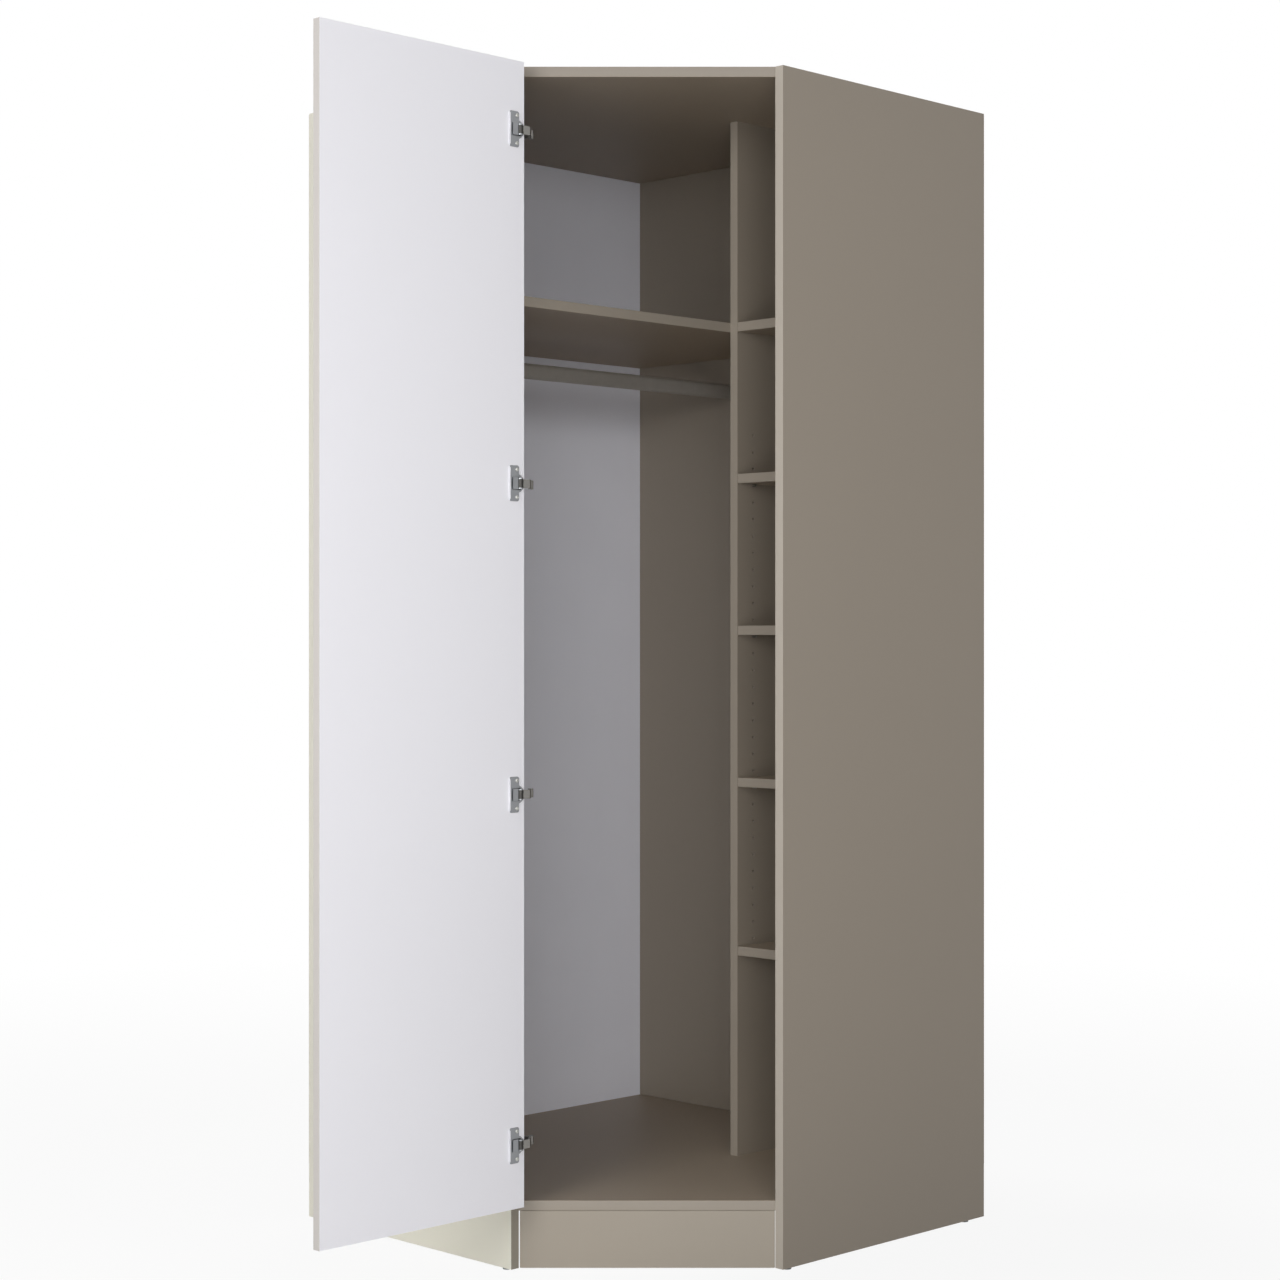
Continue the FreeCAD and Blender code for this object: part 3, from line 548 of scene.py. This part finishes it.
def cross_head_screw(form, top, axis, length, turn):
    """Adds one screw to a mesh. top is the middle of its head, and axis points out of the board."""
    side = axis.orthogonal().normalized()
    side.rotate(Quaternion(axis, turn))
    up = axis.cross(side)

    def spot(across, along, depth):
        return form.verts.new(top + across * side + along * up - depth * axis)

    angles = [math.tau * i / ROUND for i in range(ROUND)]
    rings = [[spot(radius * math.cos(a), radius * math.sin(a), depth) for a in angles]
             for radius, depth in HEAD_RINGS + ((SHANK_RADIUS, length - POINT_LENGTH),)]
    for upper, lower in zip(rings, rings[1:]):
        skirt(form, upper, lower)
    tip = spot(0, 0, length)
    for i in range(ROUND):
        form.faces.new((rings[-1][i], rings[-1][(i + 1) % ROUND], tip))

    quarter = ((RECESS_ARM, -RECESS_HALF), (RECESS_ARM, RECESS_HALF), (RECESS_HALF, RECESS_HALF))
    outline = list(quarter)
    for _ in range(3):
        quarter = [(-v, u) for u, v in quarter]
        outline += quarter
    mouth = [spot(u, v, 0) for u, v in outline]
    recess = [spot(RECESS_TAPER * u, RECESS_TAPER * v, RECESS_DEPTH) for u, v in outline]
    skirt(form, mouth, recess)
    form.faces.new(recess)
    flat = [form.edges.get((loop[i - 1], loop[i])) for loop in (rings[0], mouth) for i in range(len(loop))]
    bmesh.ops.triangle_fill(form, use_beauty=True, edges=flat, normal=axis)


def screw_set(name, node, body, axis, spacing):
    """The eight screws of one kind as one piece, in place of their CAD node."""
    axis = Vector(axis)
    low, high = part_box(node)
    form = bmesh.new()
    for number in HINGES:
        cup_low, cup_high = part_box(f"hinge_cup_{number}")
        for half in (-0.5, 0.5):
            top = (low + high) / 2
            top += axis * (axis.dot(high) - axis.dot(top))
            top.z = (cup_low.z + cup_high.z) / 2 + half * spacing
            cross_head_screw(form, top, axis, axis.dot(high - low), TURN_STEP * (2 * number + half))
    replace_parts(piece_of(form, name, zinc, body), node)


screw_set("cup_screw_set", "hinge_cup_screws", "door", ALONG_X, CUP_SCREW_SPACING)
screw_set("plate_screw_set", "hinge_plate_screws", "carcass", ALONG_Y, PLATE_SCREW_SPACING)


# Studio: a plain pale floor that keeps a faint shadow, a broad soft light from the camera's side, soft boxes
# high on the left, low in front and level with the hat shelf, fill light behind and above, and the camera.
scene = bpy.context.scene
FLOOR_HALF = 40.0
floor_mesh = bpy.data.meshes.new("floor")
corners = [(x * FLOOR_HALF, y * FLOOR_HALF, 0) for x, y in ((-1, -1), (1, -1), (1, 1), (-1, 1))]
floor_mesh.from_pydata(corners, [], [(0, 1, 2, 3)])
floor = bpy.data.objects.new("floor", floor_mesh)
scene.collection.objects.link(floor)


def seen_or_mirrored(tree):
    """1 for rays that show the background: to the camera, or by way of metal or glass."""
    ray = add(tree, "ShaderNodeLightPath", {}).outputs
    straight = figure(tree, "ADD", ray["Is Camera Ray"], ray["Is Glossy Ray"])
    every = add(tree, "ShaderNodeMath", {0: straight, 1: ray["Is Transmission Ray"]},
                operation="ADD", use_clamp=True)
    return every.outputs[0]


# The floor is white to the eye but for a share of the light that falls on it, which grows towards the
# cabinet. It is dim at the foot of the right side board, so that little light comes back there.
WHITE = (1, 1, 1, 1)
PALE_FLOOR, DIM_FLOOR = linear(200, 200, 200), linear(90, 90, 90)
RIGHT_FOOT, DIM_REACH, DIM_END = (1.2, -0.25, 0), 0.4, 0.8
SHADOW_REACH, SHADOW_END = 1.2, 3.5
NEAR_WHITE = 0.92
pale = bpy.data.materials.new("pale_floor")
pale.use_nodes = True
tree = pale.node_tree
lit = tree.nodes["Principled BSDF"]
lit.inputs["Roughness"].default_value = 0.9
place = add(tree, "ShaderNodeTexCoord", {}).outputs["Object"]
foot = add(tree, "ShaderNodeVectorMath", {0: place, 1: RIGHT_FOOT}, operation="DISTANCE").outputs["Value"]
spill = ramp(tree, foot, DIM_REACH, DIM_END, 0.0, 1.0)
feed(tree, lit.inputs["Base Color"], blend(tree, spill, DIM_FLOOR, PALE_FLOOR))
reach = add(tree, "ShaderNodeVectorMath", {0: place}, operation="LENGTH").outputs["Value"]
fade = ramp(tree, reach, SHADOW_REACH, SHADOW_END, NEAR_WHITE, 1.0)
share = figure(tree, "MULTIPLY", seen_or_mirrored(tree), fade)
white = add(tree, "ShaderNodeEmission", {"Color": WHITE, "Strength": 1.0})
both = add(tree, "ShaderNodeMixShader", {0: share, 1: lit.outputs[0], 2: white.outputs[0]})
feed(tree, tree.nodes["Material Output"].inputs["Surface"], both.outputs[0])
floor_mesh.materials.append(pale)

LOBE_POWER, LOBE_LIGHT, ROOM_LIGHT = 40.0, 5.54, 0.31
world = bpy.data.worlds.new("studio")
scene.world = world
world.use_nodes = True
tree = world.node_tree
tree.nodes.clear()
outlook = add(tree, "ShaderNodeTexCoord", {}).outputs["Generated"]
ahead = figure(tree, "MAXIMUM", facing(tree, outlook, DIAGONAL), 0.0)
lobe = figure(tree, "POWER", ahead, LOBE_POWER)
glow = figure(tree, "MULTIPLY_ADD", lobe, LOBE_LIGHT, ROOM_LIGHT)
soft = add(tree, "ShaderNodeBackground", {"Color": WHITE, "Strength": glow})
plain = add(tree, "ShaderNodeBackground", {"Color": WHITE, "Strength": 1.0})
both = add(tree, "ShaderNodeMixShader", {0: seen_or_mirrored(tree), 1: soft.outputs[0], 2: plain.outputs[0]})
add(tree, "ShaderNodeOutputWorld", {"Surface": both.outputs[0]})


def soft_box(name, at, towards, width, watts, spread=180):
    """A square lamp that stands at one point and looks at another."""
    data = bpy.data.lights.new(name, "AREA")
    data.size = width
    data.energy = watts
    data.spread = math.radians(spread)
    lamp = bpy.data.objects.new(name, data)
    lamp.location = at
    lamp.rotation_euler = (Vector(towards) - Vector(at)).to_track_quat("-Z", "Y").to_euler()
    scene.collection.objects.link(lamp)


soft_box("high_left", at=(1.5, -4.2, 2.0), towards=(0.6, -0.6, 1.1), width=1.6, watts=59.0)
soft_box("low_front", at=(2.6, -2.6, 0.35), towards=(0.5, -0.5, 1.6), width=1.0, watts=15.8)
soft_box("hat_level", at=(3.0, -2.2, 1.95), towards=(0.2, -0.4, 1.9), width=0.8, watts=14.8)
soft_box("behind", at=(-2.6, 2.6, 1.6), towards=(0.2, -0.2, 1.0), width=2.0, watts=60.0)
soft_box("overhead", at=(0.35, -0.35, 4.6), towards=(0.36, -0.36, 2.1), width=0.8, watts=2.4, spread=50)

EYE = (3.8166, -3.8341, 1.1007)
LENS, SENSOR = 70.38, 36.0  # millimetres
LEVEL, TOWARDS_CORNER = math.radians(90), math.radians(45)
scene.view_settings.view_transform = "Standard"
camera = bpy.data.objects.new("camera", bpy.data.cameras.new("camera"))
camera.data.sensor_width = SENSOR
camera.data.lens = LENS
camera.location = EYE
camera.rotation_euler = (LEVEL, 0, TOWARDS_CORNER)
scene.collection.objects.link(camera)
scene.camera = camera
